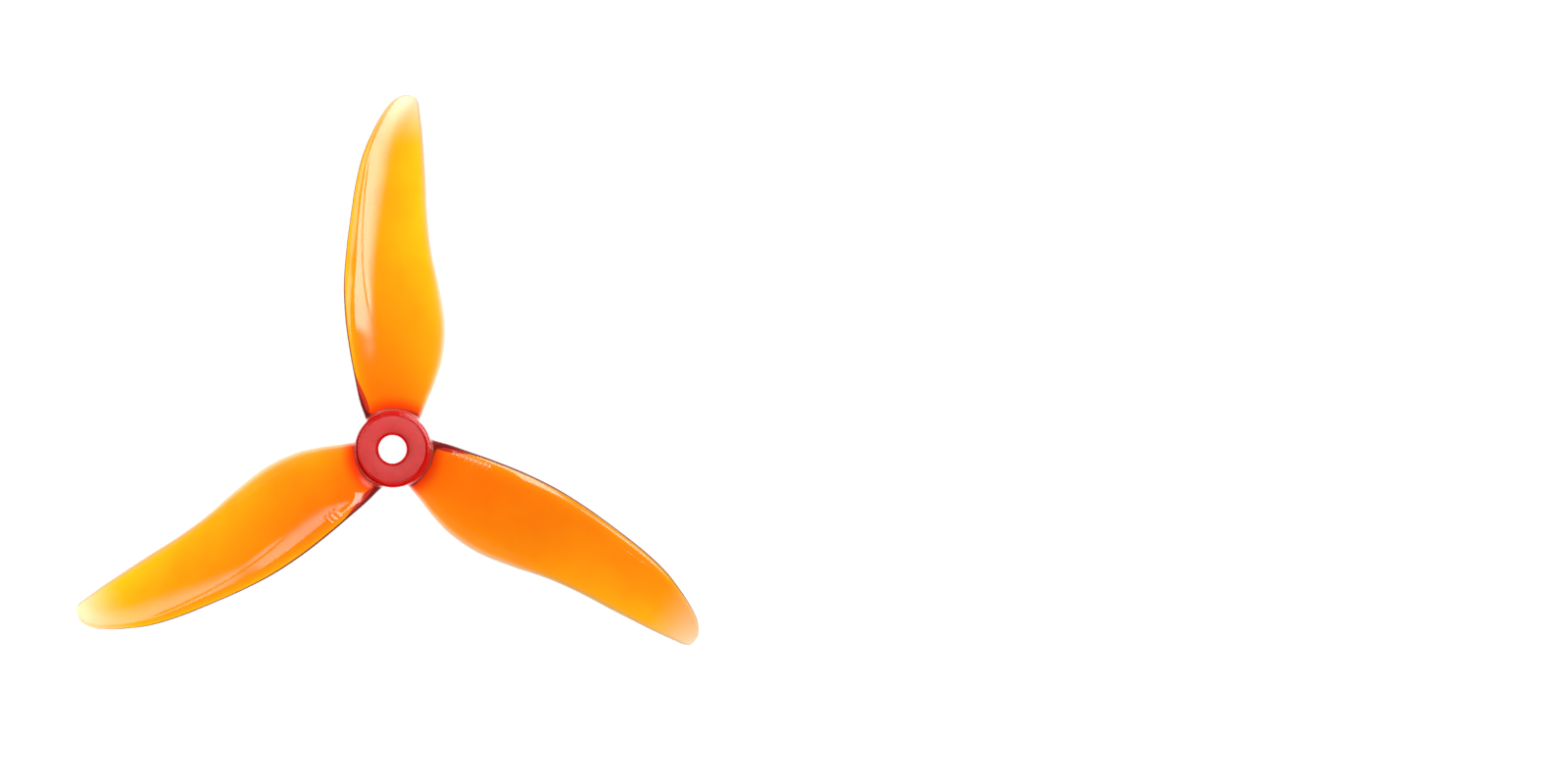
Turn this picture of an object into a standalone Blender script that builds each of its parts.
"""Drone propeller, 127 mm (5 inch) across its tips, with a 5 mm bore.

The real object is one moulding.  Here the hub and the three blades are separate solids,
with a small gap at each blade's root.  Frame: +Z along the bore towards the prop nut,
origin where the bore axis meets the motor-seat face, blade_1 out along +Y.  Seen from
+Z the propeller turns counter-clockwise, so each blade's leading edge is on its
counter-clockwise side.  Lengths here are in millimetres, and the meshes are in metres.
"""

import math

import bmesh
import bpy
import numpy as np
from mathutils import Matrix

MM = 0.001

# Hub
BORE_RADIUS = 2.5
BORE_CHAMFER = 0.5
HUB_HEIGHT = 7.0
BODY_RADIUS = 6.8
SHOULDER_ROUND = 0.3
SEAT_CHAMFER = 0.35
BOSS_RADIUS = 6.1
BOSS_HEIGHT = 1.1
BOSS_CHAMFER = 0.25
HUB_STEPS = 72

# Blades
BLADE_COUNT = 3
TIP_RADIUS = 63.5
ROOT_GAP = 0.3
ROOT_RADIUS = BODY_RADIUS + ROOT_GAP
NOSE_SHARE = 0.21
NOSE_POWER = 2.5
TAIL_SHARE = 0.12
TAIL_BLUNTNESS = 0.92
TAPER = 0.46
FULLNESS = 1.1
CAMBER_PLACE = 0.45
SECTIONS_PER_STATION = 2
CHORD_STEPS = 12

# Blade sections from root to tip.  Each lies on a cylinder round the bore, at the first
# radius.  The trailing and the leading edge stand so far round that cylinder from the
# blade's radial line, and at those heights.  Then come the greatest thickness, and the
# camber as a share of the chord.
STATIONS = (
    # radius, trail, lead, trail z, lead z, thick, camber
    (ROOT_RADIUS, -4.85, 5.35, 1.1, 5.0, 3.0, 0.075),
    (8.2, -5.3, 5.55, 0.7, 6.1, 2.5, 0.082),
    (10.5, -6.15, 6.15, 0.3, 7.5, 2.05, 0.088),
    (14.0, -7.5, 6.8, 0.1, 8.1, 1.8, 0.09),
    (18.5, -8.75, 7.6, -0.6, 8.5, 1.73, 0.09),
    (24.0, -9.05, 8.35, -1.0, 8.8, 1.63, 0.09),
    (30.0, -7.95, 8.7, -0.5, 8.4, 1.51, 0.09),
    (36.0, -6.5, 8.4, 0.5, 7.3, 1.41, 0.08),
    (42.0, -5.75, 7.7, 1.3, 6.5, 1.32, 0.062),
    (48.0, -5.45, 6.8, 1.8, 6.0, 1.23, 0.05),
    (53.0, -5.15, 5.55, 2.2, 5.7, 1.09, 0.045),
    (57.0, -4.85, 3.85, 2.7, 5.3, 0.93, 0.04),
    (60.0, -4.5, 2.25, 3.2, 4.9, 0.78, 0.04),
    (62.2, -4.2, 0.65, 3.6, 4.6, 0.64, 0.04),
    (TIP_RADIUS, -3.6, -1.15, 3.8, 4.25, 0.52, 0.04),
)


def clear_scene():
    for obj in list(bpy.data.objects):
        bpy.data.objects.remove(obj, do_unlink=True)


def new_collection(name):
    collection = bpy.data.collections.new(name)
    bpy.context.scene.collection.children.link(collection)
    return collection


def plastic(name, colour, roughness):
    """Dyed polycarbonate."""
    material = bpy.data.materials.new(name)
    material.use_nodes = True
    shader = material.node_tree.nodes["Principled BSDF"]
    shader.inputs["Base Color"].default_value = (*colour, 1.0)
    shader.inputs["Roughness"].default_value = roughness
    shader.inputs["Metallic"].default_value = 0.0
    shader.inputs["IOR"].default_value = 1.585
    material.diffuse_color = (*colour, 1.0)
    return material


def arc(centre_x, centre_z, radius, start, stop, steps):
    """Points of a round in the profile plane, from one angle to another in degrees."""
    angles = np.radians(np.linspace(start, stop, steps + 1))
    return [(centre_x + radius * math.cos(a), centre_z + radius * math.sin(a)) for a in angles]


def hub_profile():
    """Half section of the hub at +X: across the top, down the outside, in and up the bore."""
    shoulder = HUB_HEIGHT - BOSS_HEIGHT
    mouth = BORE_RADIUS + BORE_CHAMFER
    points = [
        (mouth, HUB_HEIGHT),
        (BOSS_RADIUS - BOSS_CHAMFER, HUB_HEIGHT),
        (BOSS_RADIUS, HUB_HEIGHT - BOSS_CHAMFER),
        (BOSS_RADIUS, shoulder),
    ]
    points += arc(BODY_RADIUS - SHOULDER_ROUND, shoulder - SHOULDER_ROUND, SHOULDER_ROUND, 90.0, 0.0, 4)
    points += [
        (BODY_RADIUS, SEAT_CHAMFER),
        (BODY_RADIUS - SEAT_CHAMFER, 0.0),
        (mouth, 0.0),
        (BORE_RADIUS, BORE_CHAMFER),
        (BORE_RADIUS, HUB_HEIGHT - BORE_CHAMFER),
    ]
    return points


def make_hub(collection):
    points = hub_profile()
    edges = [(i, (i + 1) % len(points)) for i in range(len(points))]
    mesh = bpy.data.meshes.new("hub")
    mesh.from_pydata([(x * MM, 0.0, z * MM) for x, z in points], edges, [])
    mesh.materials.append(plastic("hub_plastic", (0.52, 0.012, 0.006), 0.22))
    hub = bpy.data.objects.new("hub", mesh)
    collection.objects.link(hub)
    turn = hub.modifiers.new("turn", "SCREW")
    turn.axis = "Z"
    turn.angle = math.tau
    turn.steps = HUB_STEPS
    turn.render_steps = HUB_STEPS
    turn.use_merge_vertices = True
    turn.merge_threshold = 0.00001
    turn.use_smooth_shade = True


def stations_between():
    """The station rows with rows added between them, on a smooth curve through them all."""
    rows = np.array(STATIONS)
    slopes = np.gradient(rows, axis=0)
    result = []
    for i in range(len(rows) - 1):
        for t in np.arange(SECTIONS_PER_STATION) / SECTIONS_PER_STATION:
            start = (2 * t**3 - 3 * t**2 + 1) * rows[i] + (t**3 - 2 * t**2 + t) * slopes[i]
            stop = (3 * t**2 - 2 * t**3) * rows[i + 1] + (t**3 - t**2) * slopes[i + 1]
            result.append(start + stop)
    result.append(rows[-1])
    return result


def half_thickness(t):
    """Half thickness for a greatest thickness of 1, at t of the chord behind the nose: a
    blunt nose, an elliptical tail, and an even taper between them."""
    ahead = max(0.0, 1.0 - t / NOSE_SHARE)
    behind = max(0.0, 1.0 - (1.0 - t) / TAIL_SHARE) * TAIL_BLUNTNESS
    nose = (1.0 - ahead**NOSE_POWER) ** (1.0 / NOSE_POWER)
    return FULLNESS / 2.0 * (1.0 - TAPER * t) * nose * math.sqrt(1.0 - behind**2)


def camber_height(t):
    """Height of the camber line, for a greatest height of 1."""
    span = CAMBER_PLACE if t < CAMBER_PLACE else 1.0 - CAMBER_PLACE
    return 1.0 - ((t - CAMBER_PLACE) / span) ** 2


def wrap(point, radius):
    """Point on the cylinder round the bore, from a distance round it and a height."""
    angle = point[0] / radius
    return (-radius * math.sin(angle) * MM, radius * math.cos(angle) * MM, point[1] * MM)


def section(row):
    """Upper and lower points of one blade section, nose first."""
    radius, trail, lead, trail_z, lead_z, thick, camber = row
    nose = np.array((lead, lead_z))
    along = np.array((trail - lead, trail_z - lead_z))
    chord = np.linalg.norm(along)
    upward = np.array((along[1], -along[0])) / chord
    upper, lower = [], []
    for k in range(CHORD_STEPS + 1):
        t = (1.0 - math.cos(math.pi * k / CHORD_STEPS)) / 2.0
        middle = nose + along * t + upward * (camber * chord * camber_height(t))
        half = thick * half_thickness(t)
        upper.append(wrap(middle + upward * half, radius))
        lower.append(wrap(middle - upward * half, radius))
    return upper, lower


def close_end(shape, over, under):
    """End face of the loft, as strips across the section, so that it follows its cylinder."""
    shape.faces.new((over[0], over[1], under[1]))
    for i in range(1, CHORD_STEPS):
        shape.faces.new((over[i], over[i + 1], under[i + 1], under[i]))


def blade_mesh():
    """Closed loft through the blade's sections, for a blade out along +Y."""
    shape = bmesh.new()
    sections = []
    for row in stations_between():
        upper, lower = section(row)
        over = [shape.verts.new(point) for point in upper]
        under = [over[0]] + [shape.verts.new(point) for point in lower[1:]]
        sections.append((over, under))
    rings = [over + under[:0:-1] for over, under in sections]
    for inner, outer in zip(rings, rings[1:]):
        for i in range(len(inner)):
            j = (i + 1) % len(inner)
            shape.faces.new((inner[i], inner[j], outer[j], outer[i]))
    close_end(shape, *sections[0])
    close_end(shape, *sections[-1])
    bmesh.ops.recalc_face_normals(shape, faces=shape.faces)
    bmesh.ops.triangulate(shape, faces=shape.faces)
    mesh = bpy.data.meshes.new("blade")
    shape.to_mesh(mesh)
    shape.free()
    mesh.shade_smooth()
    mesh.set_sharp_from_angle(angle=math.radians(35.0))
    mesh.materials.append(plastic("blade_plastic", (0.95, 0.27, 0.01), 0.16))
    return mesh


def make_blades(collection):
    mesh = blade_mesh()
    for number in range(BLADE_COUNT):
        blade = bpy.data.objects.new(f"blade_{number + 1}", mesh)
        collection.objects.link(blade)
        blade.matrix_world = Matrix.Rotation(math.tau * number / BLADE_COUNT, 4, "Z")


def main():
    clear_scene()
    propeller = new_collection("propeller")
    make_hub(propeller)
    make_blades(propeller)


main()
